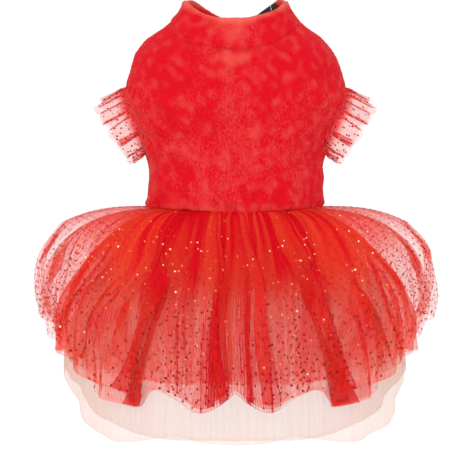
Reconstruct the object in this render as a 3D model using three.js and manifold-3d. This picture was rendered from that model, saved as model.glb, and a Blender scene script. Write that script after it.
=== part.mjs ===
// A small dog's party dress: a plush bodice with a stand collar and net cap sleeves,
// and a gathered skirt of three spotted nets over a longer sheer underskirt.
// Millimetres, +Z up. The wearer's back faces -Y and +X is to the right of someone looking at it.
// The origin is the middle of the neck seam, where the dress sits round the neck.
import * as THREE from "three";
import { mergeVertices } from "three/addons/utils/BufferGeometryUtils.js";
import Module from "manifold-3d";

// Widths run along X and depths along Y, each measured over the outside of the cloth.
const neckWidth = 110.4;
const neckDepth = 82;
const neckShift = -4;
const neckSideRise = 7.8;
const neckDipBack = 25.2;
const neckDipThroat = 20;
const chestWidth = 194;
const chestDepth = 114;
const waistWidth = 155;
const waistDepth = 106;
const bodiceLength = 162;
const bodySquareness = 2.25;
const plushWall = 2.4;

const collarRimWidth = 91;
const collarRimDepth = 68;
const collarHeightBack = 28;
const collarHeightSide = 17.4;
const collarHeightThroat = 21.4;
const collarWall = 4;
const collarLean = 0.6;

const labelWall = 0.8;
const labelStart = 122;
const labelEnd = 158;
const labelHeight = 12;
const labelProud = 1;
const labelClear = 0.5;

const armholeHeight = 60;
const armholeDepth = 46;
const armholeDrop = 85.8;
const ruffleWidth = 31;
const ruffleFold = 6;
const ruffleDroop = 30;
const ruffleFlare = 0.04;

const netWall = 1;
const netTuck = 4;
const outerLength = 166;
const middleLength = 171;
const innerLength = 166;
const underLength = 200;
const hemWidth = 326;
const hemDepth = 186;
const netFold = 13;
const underFold = 9;

// How far each layer of the skirt hangs inside the one before it at the hem.
const hemSpread = 7;

// Sewn pieces that meet keep this much clear of each other, and layers of net inside the waist more.
const seamGap = 0.3;
const layerGap = 0.6;

// Bodice sections from the waist, level 0, to the neck seam, level 1. swell goes from the waist's
// size, 0, to the chest's, 1, and neckward from the chest's to the neck's. dip is a share of the neck dips.
const bodiceSections = [
  { level: 0, swell: 0, neckward: 0, dip: 0 },
  { level: 0.157, swell: -0.06, neckward: 0, dip: 0 },
  { level: 0.23, swell: -0.12, neckward: 0, dip: 0 },
  { level: 0.283, swell: 0.03, neckward: 0, dip: 0 },
  { level: 0.356, swell: 0.23, neckward: 0, dip: 0 },
  { level: 0.447, swell: 0.63, neckward: 0, dip: 0 },
  { level: 0.541, swell: 0.974, neckward: 0, dip: 0 },
  { level: 0.606, swell: 1, neckward: 0, dip: 0 },
  { level: 0.656, swell: 1, neckward: 0.055, dip: 0.04 },
  { level: 0.791, swell: 1, neckward: 0.191, dip: 0.25 },
  { level: 0.88, swell: 1, neckward: 0.421, dip: 0.45 },
  { level: 0.925, swell: 1, neckward: 0.629, dip: 0.62 },
  { level: 0.962, swell: 1, neckward: 0.837, dip: 0.81 },
  { level: 1, swell: 1, neckward: 1, dip: 1 },
];

// The collar's cross section, once round. up is a share of its height, flare goes from the rim's
// size, 0, to the seam's, 1, and inward is a share of the collar's wall.
const collarSection = [
  { up: 0, flare: 1, inward: 0 },
  { up: 0.36, flare: 0.45, inward: 0 },
  { up: 0.7, flare: 0.16, inward: 0 },
  { up: 0.92, flare: 0.03, inward: 0.08 },
  { up: 1, flare: 0, inward: 0.35 },
  { up: 1, flare: 0, inward: 0.65 },
  { up: 0.92, flare: 0.03, inward: 0.92 },
  { up: 0.5, flare: 0.3, inward: 1 },
  { up: 0, flare: 1, inward: 1 },
];

// Hem of the spotted nets by angle, from the middle of the wearer's back, 0, to the belly, 180.
// drop is a share of the layer's length, and spring of its reach: how far it stands out before it falls.
const netHem = [
  { angle: 0, drop: 0.91, spring: 0.42 },
  { angle: 8, drop: 1, spring: 0.42 },
  { angle: 17, drop: 0.96, spring: 0.46 },
  { angle: 26, drop: 0.88, spring: 0.52 },
  { angle: 33, drop: 0.96, spring: 0.58 },
  { angle: 41, drop: 0.93, spring: 0.65 },
  { angle: 50, drop: 0.86, spring: 0.75 },
  { angle: 57, drop: 0.79, spring: 0.84 },
  { angle: 63, drop: 0.72, spring: 0.92 },
  { angle: 70, drop: 0.65, spring: 0.94 },
  { angle: 80, drop: 0.58, spring: 0.96 },
  { angle: 90, drop: 0.56, spring: 0.97 },
  { angle: 105, drop: 0.59, spring: 0.95 },
  { angle: 120, drop: 0.68, spring: 0.88 },
  { angle: 140, drop: 0.82, spring: 0.66 },
  { angle: 160, drop: 0.91, spring: 0.48 },
  { angle: 180, drop: 0.92, spring: 0.42 },
];

// Hem of the underskirt, in the same columns.
const underHem = [
  { angle: 0, drop: 1, spring: 0.3 },
  { angle: 10, drop: 0.99, spring: 0.3 },
  { angle: 20, drop: 0.965, spring: 0.3 },
  { angle: 31, drop: 0.98, spring: 0.32 },
  { angle: 42, drop: 0.975, spring: 0.36 },
  { angle: 53, drop: 0.94, spring: 0.41 },
  { angle: 62, drop: 0.89, spring: 0.47 },
  { angle: 73, drop: 0.8, spring: 0.54 },
  { angle: 82, drop: 0.73, spring: 0.58 },
  { angle: 92, drop: 0.7, spring: 0.6 },
  { angle: 108, drop: 0.75, spring: 0.55 },
  { angle: 126, drop: 0.85, spring: 0.45 },
  { angle: 150, drop: 0.95, spring: 0.34 },
  { angle: 180, drop: 0.98, spring: 0.3 },
];

// The skirt's main folds on one side. at is the ridge's angle, depth a share of the fold size,
// and lean how far the ridge swings round the skirt, in the same share.
const skirtFolds = [
  { at: 10, depth: 0.75, lean: 0.25 },
  { at: 27, depth: 0.5, lean: 0.1 },
  { at: 43, depth: 0.95, lean: 0.5 },
  { at: 61, depth: 0.8, lean: 0.3 },
  { at: 80, depth: 1, lean: 0.3 },
  { at: 101, depth: 1, lean: 0 },
  { at: 124, depth: 0.85, lean: -0.3 },
  { at: 147, depth: 0.9, lean: 0.3 },
  { at: 169, depth: 0.7, lean: 0.2 },
];

// The cap sleeve's pleats round the armhole, from its top, 0, over the side of the wearer's back,
// 90, and the underarm, 180. width is a share of the sleeve's width, and depth of its fold.
const rufflePleats = [
  { at: 0, width: 0.9, depth: 0.7 },
  { at: 34, width: 0.98, depth: 0.5 },
  { at: 64, width: 0.86, depth: 1 },
  { at: 96, width: 0.9, depth: 0.6 },
  { at: 128, width: 0.78, depth: 1 },
  { at: 160, width: 0.56, depth: 0.6 },
  { at: 192, width: 0.46, depth: 0.8 },
  { at: 226, width: 0.66, depth: 0.6 },
  { at: 262, width: 0.86, depth: 1 },
  { at: 296, width: 0.92, depth: 0.6 },
  { at: 328, width: 0.9, depth: 0.8 },
];

const bodiceColumns = 40;
const collarColumns = 40;
const armholeSides = 32;
const stepsPerFold = 4;
const skirtRows = [0, 0.14, 0.38, 0.68, 1];
const ruffleRows = [0.5, 1];

const radians = THREE.MathUtils.degToRad;
const mix = THREE.MathUtils.lerp;

// A smooth value between a table's rows, by its first column's name.
function fromTable(rows, column, key, at) {
  let i = 0;
  while (i < rows.length - 2 && at > rows[i + 1][key]) i += 1;
  const before = rows[Math.max(i - 1, 0)];
  const low = rows[i];
  const high = rows[i + 1];
  const after = rows[Math.min(i + 2, rows.length - 1)];
  const span = high[key] - low[key];
  const t = (at - low[key]) / span;
  const slopeLow = ((high[column] - before[column]) / (high[key] - before[key])) * span;
  const slopeHigh = ((after[column] - low[column]) / (after[key] - low[key])) * span;
  const t2 = t * t;
  const t3 = t2 * t;
  return (
    low[column] * (2 * t3 - 3 * t2 + 1) +
    slopeLow * (t3 - 2 * t2 + t) +
    high[column] * (3 * t2 - 2 * t3) +
    slopeHigh * (t3 - t2)
  );
}

// The share of a dip or height at an angle: all of it at the middle of the back or throat, none at a side.
function dipShare(angle) {
  return Math.abs(Math.cos(angle)) ** backOrThroat(angle, 1.5, 3);
}

function backOrThroat(angle, back, throat) {
  return Math.cos(angle) > 0 ? back : throat;
}

function rounded(value) {
  return Math.sign(value) * Math.abs(value) ** (2 / bodySquareness);
}

// A point on the bodice's outside. level is 0 at the waist and 1 at the neck seam.
function bodicePoint(level, angle) {
  const swell = fromTable(bodiceSections, "swell", "level", level);
  const neckward = fromTable(bodiceSections, "neckward", "level", level);
  const dip = fromTable(bodiceSections, "dip", "level", level) * dipShare(angle);
  const width = waistWidth + (chestWidth - waistWidth) * swell + (neckWidth - chestWidth) * neckward;
  const depth = waistDepth + (chestDepth - waistDepth) * swell + (neckDepth - chestDepth) * neckward;
  return new THREE.Vector3(
    (width / 2) * rounded(Math.sin(angle)),
    neckShift * neckward - (depth / 2) * rounded(Math.cos(angle)),
    neckSideRise - bodiceLength * (1 - level) - dip * backOrThroat(angle, neckDipBack, neckDipThroat),
  );
}

// Half the bodice's width at a height, at a distance from its middle plane.
function bodiceSideAt(depthFromMiddle, z) {
  const level = 1 - (neckSideRise - z) / bodiceLength;
  const side = bodicePoint(level, Math.PI / 2).x;
  const half = -bodicePoint(Math.min(level, 0.7), 0).y;
  const share = Math.min(Math.abs(depthFromMiddle) / half, 0.98);
  return side * (1 - share ** bodySquareness) ** (1 / bodySquareness);
}

// Each point moved along the surface's normal. Rows go along the cloth and columns close round it.
function offsetRing(rows, distance) {
  const count = rows[0].length;
  return rows.map((row, i) =>
    row.map((point, j) => {
      const along = rows[Math.min(i + 1, rows.length - 1)][j]
        .clone()
        .sub(rows[Math.max(i - 1, 0)][j]);
      const round = row[(j + 1) % count].clone().sub(row[(j + count - 1) % count]);
      const normal = round.cross(along).normalize();
      return point.clone().addScaledVector(normal, distance);
    }),
  );
}

function geometryOf(points, triangles) {
  const geometry = new THREE.BufferGeometry();
  geometry.setFromPoints(points);
  geometry.setIndex(triangles);
  return geometry;
}

// A closed loop of section outlines: both rows and columns close on themselves.
function loopSolid(rows) {
  const count = rows[0].length;
  const points = rows.flat();
  const triangles = [];
  rows.forEach((row, i) => {
    const next = ((i + 1) % rows.length) * count;
    row.forEach((point, j) => {
      const a = i * count + j;
      const b = i * count + ((j + 1) % count);
      const c = next + ((j + 1) % count);
      const d = next + j;
      triangles.push(a, b, c, a, c, d);
    });
  });
  return geometryOf(points, triangles);
}

// A cloth wall closed round an opening, from its outer rows and its inner rows.
function wallSolid(outer, inner) {
  return loopSolid([...outer, ...inner.slice().reverse()]);
}

// A small flat piece of cloth from its front and back rows, closed at its edges.
function patchSolid(front, back) {
  const rows = front.length;
  const columns = front[0].length;
  const points = [...front.flat(), ...back.flat()];
  const triangles = [];
  const behind = rows * columns;
  const face = (a, b, c, d) => triangles.push(a, b, c, a, c, d);
  for (let i = 0; i < rows - 1; i += 1) {
    for (let j = 0; j < columns - 1; j += 1) {
      const a = i * columns + j;
      face(a, a + 1, a + columns + 1, a + columns);
      face(behind + a + columns, behind + a + columns + 1, behind + a + 1, behind + a);
    }
    const left = i * columns;
    const right = left + columns - 1;
    face(left, left + columns, behind + left + columns, behind + left);
    face(right + columns, right, behind + right, behind + right + columns);
  }
  for (let j = 0; j < columns - 1; j += 1) {
    const top = (rows - 1) * columns + j;
    face(j + 1, j, behind + j, behind + j + 1);
    face(top, top + 1, behind + top + 1, behind + top);
  }
  return geometryOf(points, triangles);
}

function anglesRound(count) {
  return Array.from({ length: count }, (_, i) => (2 * Math.PI * i) / count);
}

const wasm = await Module();
wasm.setup();

function toManifold(geometry) {
  const bare = geometry.clone();
  bare.deleteAttribute("normal");
  bare.deleteAttribute("uv");
  const merged = mergeVertices(bare);
  return new wasm.Manifold(
    new wasm.Mesh({
      numProp: 3,
      vertProperties: merged.attributes.position.array,
      triVerts: new Uint32Array(merged.index.array),
    }),
  );
}

function toGeometry(solid) {
  const mesh = solid.getMesh();
  const geometry = new THREE.BufferGeometry();
  geometry.setAttribute("position", new THREE.BufferAttribute(mesh.vertProperties, 3));
  geometry.setIndex(new THREE.BufferAttribute(mesh.triVerts, 1));
  geometry.computeVertexNormals();
  return geometry;
}

const armholeCentre = neckSideRise - armholeDrop;

// A point of the armhole's edge, seen from the side. turn is 0 at its top and 90 towards the wearer's back.
function armholeEdge(turn, clearance) {
  return {
    y: -(armholeDepth / 2 - clearance) * Math.sin(turn),
    z: armholeCentre + (armholeHeight / 2 - clearance) * Math.cos(turn),
  };
}

function armholeCutter(side) {
  const near = chestWidth * 0.12;
  const far = chestWidth;
  const rows = [near, far].map((x) =>
    anglesRound(armholeSides).map((turn) => {
      const edge = armholeEdge(turn, 0);
      return new THREE.Vector3(side * x, edge.y, edge.z);
    }),
  );
  const count = armholeSides;
  const triangles = [];
  for (let j = 0; j < count; j += 1) {
    const k = (j + 1) % count;
    triangles.push(j, count + k, count + j, j, k, count + k);
  }
  for (let j = 1; j < count - 1; j += 1) {
    triangles.push(0, j + 1, j, count, count + j, count + j + 1);
  }
  if (side < 0) triangles.reverse();
  return toManifold(geometryOf(rows.flat(), triangles));
}

function makeBodice() {
  const outer = bodiceSections.map((row) =>
    anglesRound(bodiceColumns).map((angle) => bodicePoint(row.level, angle)),
  );
  const shell = toManifold(wallSolid(outer, offsetRing(outer, -plushWall)));
  return toGeometry(shell.subtract(armholeCutter(1)).subtract(armholeCutter(-1)));
}

// A point of the collar at an angle. up, flare and inward are as in its section's table.
function collarPoint(angle, up, flare, inward) {
  const seam = bodicePoint(1, angle);
  const width = mix(collarRimWidth, neckWidth, flare) / 2 - inward * collarWall;
  const depth = mix(collarRimDepth, neckDepth, flare) / 2 - inward * collarWall;
  const middle = backOrThroat(angle, collarHeightBack, collarHeightThroat);
  const height = mix(collarHeightSide, middle, dipShare(angle));
  return new THREE.Vector3(
    width * rounded(Math.sin(angle)),
    neckShift - depth * rounded(Math.cos(angle)),
    seam.z + seamGap + up * height,
  );
}

function makeCollar() {
  return loopSolid(
    collarSection.map((row) =>
      anglesRound(collarColumns).map((angle) => collarPoint(angle, row.up, row.flare, row.inward)),
    ),
  );
}

// The label lies against the collar's inner face, on the throat side, and stands just above the rim.
function makeLabel() {
  const columns = 9;
  const rows = [0, 0.5, 1];
  const face = (clear) =>
    rows.map((lift) =>
      Array.from({ length: columns }, (_, j) => {
        const angle = radians(mix(labelStart, labelEnd, j / (columns - 1)));
        const height = mix(collarHeightSide, collarHeightThroat, dipShare(angle));
        const up = 1 + (labelProud - labelHeight * (1 - lift)) / height;
        const flare = Math.max(1 - up, 0) * collarLean;
        return collarPoint(angle, up, flare, 1 + clear / collarWall);
      }),
    );
  return patchSolid(face(labelClear), face(labelClear + labelWall));
}

// The bodice's bottom edge, where the skirt comes out from under it.
const waistEdge = neckSideRise - bodiceLength;

// The fold table for both sides, in order from the back's middle round to it again.
function foldsRound(folds) {
  const rest = folds
    .slice()
    .reverse()
    .map((fold) => ({ at: 360 - fold.at, depth: fold.depth, lean: -fold.lean }));
  return [...folds, ...rest];
}

// Points round a skirt layer: each has its angle, and the depth and lean of its fold there.
function foldColumns(folds) {
  const all = foldsRound(folds);
  return all.flatMap((fold, i) => {
    const next = all[(i + 1) % all.length];
    const span = (next.at - fold.at + 360) % 360;
    return Array.from({ length: stepsPerFold }, (_, k) => {
      const share = k / stepsPerFold;
      const ridge = 0.5 + 0.5 * Math.cos(2 * Math.PI * share);
      const nearest = share < 0.5 ? fold : next;
      return {
        angle: (fold.at + span * share) % 360,
        depth: ridge * nearest.depth,
        lean: ridge * nearest.lean,
      };
    });
  });
}

// How far inside the plush a layer is sewn: each lies just within the one before it.
function waistInset(layer) {
  return layerGap + layer.order * (netWall + layerGap);
}

// A point on a skirt layer below the bodice, t from 0 at the waist to 1 at its hem.
function skirtPoint(layer, column, t) {
  const angle = radians(column.angle);
  const fromBack = column.angle > 180 ? 360 - column.angle : column.angle;
  const side = Math.sin(angle) ** 2;
  const drop = layer.length * (fromTable(layer.hem, "drop", "angle", fromBack) + layer.sideDrop * side);
  const spring = layer.springShare * fromTable(layer.hem, "spring", "angle", fromBack);
  const out = new THREE.Vector3(Math.sin(angle), -Math.cos(angle), 0);
  const round = new THREE.Vector3(Math.cos(angle), Math.sin(angle), 0);
  const waist = waistPoint(layer, column, -waistInset(layer));
  const within = layer.order * hemSpread;
  const hem = new THREE.Vector3(
    (hemWidth / 2 - within) * Math.sin(angle),
    (within - hemDepth / 2) * Math.cos(angle),
    waist.z - drop,
  );
  const reach = Math.hypot(hem.x - waist.x, hem.y - waist.y);
  const shoulder = waist.clone().addScaledVector(out, spring * reach);
  shoulder.z += layer.lift * side;
  const fall = hem.clone().addScaledVector(out, layer.belly * side);
  fall.z += layer.fall * drop;
  const point = new THREE.CubicBezierCurve3(waist, shoulder, fall, hem).getPoint(t);
  const grown = layer.fold * t ** layer.foldGrowth;
  point.addScaledVector(out, grown * column.depth);
  point.addScaledVector(round, grown * column.lean);
  return point;
}

// A point on a skirt layer's waist, under the plush, this far above the bodice's bottom edge.
function waistPoint(layer, column, above) {
  const angle = radians(column.angle);
  const out = new THREE.Vector3(Math.sin(angle), -Math.cos(angle), 0);
  const point = bodicePoint(0, angle).addScaledVector(out, -plushWall - waistInset(layer));
  point.z = waistEdge + above;
  return point;
}

function makeSkirtLayer(layer) {
  const columns = foldColumns(skirtFolds);
  const tuck = columns.map((column) => waistPoint(layer, column, netTuck));
  const outer = [tuck, ...skirtRows.map((t) => columns.map((column) => skirtPoint(layer, column, t)))];
  return wallSolid(outer.slice().reverse(), offsetRing(outer, netWall).slice().reverse());
}

const outerNet = {
  order: 0,
  length: outerLength,
  hem: netHem,
  sideDrop: -0.01,
  springShare: 1,
  lift: 11,
  belly: 13,
  fall: 0.6,
  fold: netFold,
  foldGrowth: 0.8,
};

const middleNet = {
  ...outerNet,
  order: 1,
  length: middleLength,
  sideDrop: 0.06,
  springShare: 0.95,
  lift: 2,
};

const innerNet = {
  ...outerNet,
  order: 2,
  length: innerLength,
  sideDrop: 0.16,
  springShare: 0.62,
  lift: -22,
  belly: 4,
  fall: 0.45,
};

const underskirt = {
  order: 3,
  length: underLength,
  hem: underHem,
  sideDrop: 0,
  springShare: 0.62,
  lift: -30,
  belly: 2,
  fall: 0.5,
  fold: underFold,
  foldGrowth: 1.2,
};

// The cap sleeve on one side, +1 for the wearer's right as seen from behind it.
function makeRuffle(side) {
  const droop = radians(ruffleDroop);
  const all = [...rufflePleats, { ...rufflePleats[0], at: 360 }];
  const columns = rufflePleats.flatMap((pleat, i) => {
    const next = all[i + 1];
    return Array.from({ length: stepsPerFold }, (_, k) => {
      const share = k / stepsPerFold;
      const ridge = 0.5 + 0.5 * Math.cos(2 * Math.PI * share);
      return {
        turn: radians(mix(pleat.at, next.at, share)),
        width: mix(pleat.width, next.width, share),
        depth: (ridge - 0.5) * (share < 0.5 ? pleat : next).depth,
      };
    });
  });
  const root = (column, clearance, outward) => {
    const edge = armholeEdge(column.turn, clearance);
    return new THREE.Vector3(bodiceSideAt(edge.y, edge.z) + outward, edge.y, edge.z);
  };
  const along = new THREE.Vector3(Math.cos(droop), 0, -Math.sin(droop));
  const layer = (clearance) => [
    columns.map((column) => root(column, clearance, -plushWall)),
    columns.map((column) => root(column, clearance, seamGap)),
    ...ruffleRows.map((t) =>
      columns.map((column) => {
        const away = new THREE.Vector3(
          Math.sin(droop) * Math.cos(column.turn),
          -Math.sin(column.turn),
          Math.cos(droop) * Math.cos(column.turn),
        );
        const point = root(column, clearance, seamGap);
        const length = ruffleWidth * column.width * t;
        point.addScaledVector(along, length);
        return point.addScaledVector(away, ruffleFlare * length + ruffleFold * column.depth * t);
      }),
    ),
  ];
  const outer = layer(seamGap);
  const inner = layer(seamGap + netWall);
  const geometry = wallSolid(outer, inner);
  if (side < 0) {
    geometry.scale(-1, 1, 1);
    geometry.index.array.reverse();
  }
  return geometry;
}

const plushRed = new THREE.MeshStandardMaterial({ color: 0xe01a2b, roughness: 0.95, metalness: 0 });
const netRed = new THREE.MeshStandardMaterial({ color: 0xe8382f, roughness: 0.8, metalness: 0 });
const paleNet = new THREE.MeshStandardMaterial({ color: 0xf8d9cf, roughness: 0.8, metalness: 0 });
const labelBlack = new THREE.MeshStandardMaterial({ color: 0x141214, roughness: 0.7, metalness: 0 });

function piece(name, geometry, material) {
  const mesh = new THREE.Mesh(geometry, material);
  mesh.name = name;
  return mesh;
}

const dress = new THREE.Group();
const upper = new THREE.Group();
upper.add(piece("bodice", makeBodice(), plushRed));
upper.add(piece("collar", makeCollar(), plushRed));
upper.add(piece("neck_label", makeLabel(), labelBlack));
upper.add(piece("sleeve_ruffle_right", makeRuffle(1), netRed));
upper.add(piece("sleeve_ruffle_left", makeRuffle(-1), netRed));
dress.add(upper);

const skirt = new THREE.Group();
skirt.add(piece("skirt_outer_net", makeSkirtLayer(outerNet), netRed));
skirt.add(piece("skirt_middle_net", makeSkirtLayer(middleNet), netRed));
skirt.add(piece("skirt_inner_net", makeSkirtLayer(innerNet), netRed));
skirt.add(piece("underskirt", makeSkirtLayer(underskirt), paleNet));
dress.add(skirt);

export default dress;
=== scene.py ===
import math

import bpy
import numpy as np
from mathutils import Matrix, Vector


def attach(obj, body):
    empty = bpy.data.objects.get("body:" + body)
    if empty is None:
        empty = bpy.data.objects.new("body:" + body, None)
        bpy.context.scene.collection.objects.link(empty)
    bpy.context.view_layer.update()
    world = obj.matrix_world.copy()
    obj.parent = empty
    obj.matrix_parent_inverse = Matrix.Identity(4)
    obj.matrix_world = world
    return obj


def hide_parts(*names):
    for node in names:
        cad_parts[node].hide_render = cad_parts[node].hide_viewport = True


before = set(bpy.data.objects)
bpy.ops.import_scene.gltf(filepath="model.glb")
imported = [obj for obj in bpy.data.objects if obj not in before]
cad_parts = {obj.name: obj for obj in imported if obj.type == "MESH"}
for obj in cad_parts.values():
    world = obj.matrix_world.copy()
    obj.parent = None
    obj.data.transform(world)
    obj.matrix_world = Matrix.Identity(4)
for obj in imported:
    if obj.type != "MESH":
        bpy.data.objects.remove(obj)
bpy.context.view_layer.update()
mm = 0.001
print("frame loaded:", len(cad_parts), "nodes")


def alongTable(table, key, column, at):  # a smooth value between a table's rows
    keys = np.array(table[key], float)
    values = np.array(table[column], float)
    low = np.clip(np.searchsorted(keys, at, side="right") - 1, 0, len(keys) - 2)
    high = low + 1
    before = np.maximum(low - 1, 0)
    after = np.minimum(low + 2, len(keys) - 1)
    span = keys[high] - keys[low]
    t = (at - keys[low]) / span
    slopeLow = (values[high] - values[before]) / (keys[high] - keys[before]) * span
    slopeHigh = (values[after] - values[low]) / (keys[after] - keys[low]) * span
    return (
        values[low] * (2 * t**3 - 3 * t**2 + 1)
        + slopeLow * (t**3 - 2 * t**2 + t)
        + values[high] * (3 * t**2 - 2 * t**3)
        + slopeHigh * (t**3 - t**2)
    )


def smoothStep(low, high, at):
    t = np.clip((at - low) / (high - low), 0, 1)
    return t * t * (3 - 2 * t)


def unit(vectors):
    return vectors / np.maximum(np.linalg.norm(vectors, axis=-1, keepdims=True), 1e-9)


def onTube(degrees, radius, along):  # points round a tube, so that noise closes on itself
    angle = np.radians(degrees)
    return np.stack([np.cos(angle) * radius, np.sin(angle) * radius, along], -1)


def softNoise(points, size, seed, waves=28):  # smooth noise about zero, made of plain waves
    random = np.random.default_rng(seed)
    axes = unit(random.normal(size=(waves, points.shape[-1])))
    axes *= (2 * np.pi / size) * random.uniform(0.6, 1.5, waves)[:, None]
    return np.sin(points @ axes.T + random.uniform(0, 2 * np.pi, waves)).sum(-1) / math.sqrt(waves)


def setSmooth(mesh, smooth):
    mesh.polygons.foreach_set("use_smooth", np.full(len(mesh.polygons), smooth))


def clothObject(name, points, faces, uv=None):
    mesh = bpy.data.meshes.new(name)
    mesh.from_pydata((points * mm).tolist(), [], faces.tolist())
    mesh.update()
    if uv is not None:
        layer = mesh.uv_layers.new(name="cloth")
        layer.data.foreach_set("uv", uv.astype(np.float32).ravel())
    setSmooth(mesh, True)
    piece = bpy.data.objects.new(name, mesh)
    bpy.context.scene.collection.objects.link(piece)
    return piece


def ringFaces(rows, columns, wrapRows=False):  # quads of a grid that closes round its columns
    i = np.arange(rows if wrapRows else rows - 1)[:, None]
    j = np.arange(columns)[None, :]
    k = (j + 1) % columns
    here, below = i * columns, (i + 1) % rows * columns
    return np.stack([here + j, here + k, below + k, below + j], -1).reshape(-1, 4)


def ringUv(rows, columns, width, length):  # each face's corners on the flat cloth, in metres
    i, j = np.meshgrid(np.arange(rows - 1), np.arange(columns), indexing="ij")
    u = np.stack([j, j + 1, j + 1, j], -1) / columns * width
    v = np.stack([i, i, i + 1, i + 1], -1) / (rows - 1) * length
    return np.stack([u, v], -1)


def giveAttribute(piece, name, values):
    layer = piece.data.attributes.new(name, "FLOAT", "POINT")
    layer.data.foreach_set("value", np.asarray(values, np.float32).ravel())


def applyAll(piece):
    bpy.ops.object.select_all(action="DESELECT")
    bpy.context.view_layer.objects.active = piece
    piece.select_set(True)
    for modifier in list(piece.modifiers):
        bpy.ops.object.modifier_apply(modifier=modifier.name)
    piece.select_set(False)


def makeFiner(piece):
    fine = piece.modifiers.new("fine", "SUBSURF")
    fine.levels = fine.render_levels = 1
    applyAll(piece)


def meshPoints(piece):
    points = np.empty(len(piece.data.vertices) * 3)
    piece.data.vertices.foreach_get("co", points)
    return points.reshape(-1, 3) / mm


def setPoints(piece, points):
    piece.data.vertices.foreach_set("co", (points * mm).ravel())
    piece.data.update()


def newGroup(name, inputs, outputs):
    group = bpy.data.node_groups.new(name, "ShaderNodeTree")
    for socketName, kind, value in inputs:
        socket = group.interface.new_socket(socketName, in_out="INPUT", socket_type=kind)
        if value is not None:
            socket.default_value = value
    for socketName, kind in outputs:
        group.interface.new_socket(socketName, in_out="OUTPUT", socket_type=kind)
    return group, group.nodes.new("NodeGroupInput"), group.nodes.new("NodeGroupOutput")


def mathNode(tree, operation, first, second=None, clamp=False):
    node = tree.nodes.new("ShaderNodeMath")
    node.operation = operation
    node.use_clamp = clamp
    for socket, value in zip(node.inputs, (first, second)):
        if isinstance(value, (int, float)):
            socket.default_value = value
        elif value is not None:
            tree.links.new(value, socket)
    return node.outputs[0]


def mixColours(tree, share, first, second):
    node = tree.nodes.new("ShaderNodeMix")
    node.data_type = "RGBA"
    tree.links.new(share, node.inputs[0])
    for socket, value in ((node.inputs[6], first), (node.inputs[7], second)):
        if isinstance(value, tuple):
            socket.default_value = (*value, 1)
        else:
            tree.links.new(value, socket)
    return node.outputs[2]


def setInputs(node, values):
    for name, value in values.items():
        node.inputs[name].default_value = value


def noiseNode(tree, vector, scale, detail=3.0):
    node = tree.nodes.new("ShaderNodeTexNoise")
    setInputs(node, {"Scale": scale, "Detail": detail})
    tree.links.new(vector, node.inputs["Vector"])
    return node.outputs["Fac"]


def addBump(tree, shader, height, strength, distance):
    bump = tree.nodes.new("ShaderNodeBump")
    setInputs(bump, {"Strength": strength, "Distance": distance})
    tree.links.new(height, bump.inputs["Height"])
    tree.links.new(bump.outputs["Normal"], shader.inputs["Normal"])


def makeNetGroup():  # six-sided meshes of a net: a mask of its threads on the flat cloth
    group, inside, outside = newGroup(
        "netMesh",
        [
            ("Cloth", "NodeSocketVector", None),
            ("Cell", "NodeSocketFloat", 0.0009),
            ("Level", "NodeSocketFloat", -0.35),
        ],
        [("Threads", "NodeSocketFloat")],
    )
    cellTurn = 7.2552  # 4 pi / root 3: the waves' phase across one cell
    waves = []
    for turn in (0, 60, 120):
        dot = group.nodes.new("ShaderNodeVectorMath")
        dot.operation = "DOT_PRODUCT"
        dot.inputs[1].default_value = (math.cos(math.radians(turn)), math.sin(math.radians(turn)), 0)
        group.links.new(inside.outputs["Cloth"], dot.inputs[0])
        phase = mathNode(group, "MULTIPLY", dot.outputs["Value"], cellTurn)
        waves.append(mathNode(group, "COSINE", mathNode(group, "DIVIDE", phase, inside.outputs["Cell"])))
    total = mathNode(group, "ADD", mathNode(group, "ADD", waves[0], waves[1]), waves[2])
    sharpness = 2.5
    step = mathNode(group, "SUBTRACT", inside.outputs["Level"], total)
    step = mathNode(group, "MULTIPLY", step, sharpness)
    group.links.new(mathNode(group, "ADD", step, 0.5, clamp=True), outside.inputs["Threads"])
    return group


def makePileGroup():  # short pile: blotches where the nap lies differently, and the height of its tufts
    group, inside, outside = newGroup(
        "plushPile",
        [
            ("Place", "NodeSocketVector", None),
            ("Blotch", "NodeSocketFloat", 26.0),
            ("Tuft", "NodeSocketFloat", 700.0),
        ],
        [("Nap", "NodeSocketFloat"), ("Height", "NodeSocketFloat")],
    )
    crushScale = mathNode(group, "MULTIPLY", inside.outputs["Blotch"], 5.5)  # much finer than a blotch
    strengths = []
    for scale, strength, details in (
        (inside.outputs["Blotch"], 3.6, {"Detail": 4, "Roughness": 0.55, "Distortion": 0.4}),
        (crushScale, 1.8, {"Detail": 3}),
        (inside.outputs["Tuft"], 3.4, {"Detail": 2}),
    ):
        noise = group.nodes.new("ShaderNodeTexNoise")
        setInputs(noise, details)
        group.links.new(inside.outputs["Place"], noise.inputs["Vector"])
        group.links.new(scale, noise.inputs["Scale"])
        centred = mathNode(group, "SUBTRACT", noise.outputs["Fac"], 0.5)
        strengths.append(mathNode(group, "MULTIPLY", centred, strength))
    blotch, crush, tuft = strengths
    lying = mathNode(group, "ADD", mathNode(group, "ADD", blotch, crush), tuft)
    group.links.new(mathNode(group, "ADD", lying, 0.3, clamp=True), outside.inputs["Nap"])
    group.links.new(noise.outputs["Fac"], outside.inputs["Height"])  # the last noise is the tufts'
    return group


netMesh = makeNetGroup()
plushPile = makePileGroup()


def newMaterial(name):
    material = bpy.data.materials.new(name)
    material.use_nodes = True
    tree = material.node_tree
    return material, tree, tree.nodes["Principled BSDF"]


def placeGroup(tree, group):
    node = tree.nodes.new("ShaderNodeGroup")
    node.node_tree = group
    return node


def objectPlace(tree):
    return tree.nodes.new("ShaderNodeTexCoord").outputs["Object"]


def attributeValue(tree, name, output="Fac"):
    node = tree.nodes.new("ShaderNodeAttribute")
    node.attribute_name = name
    return node.outputs[output]


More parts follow.
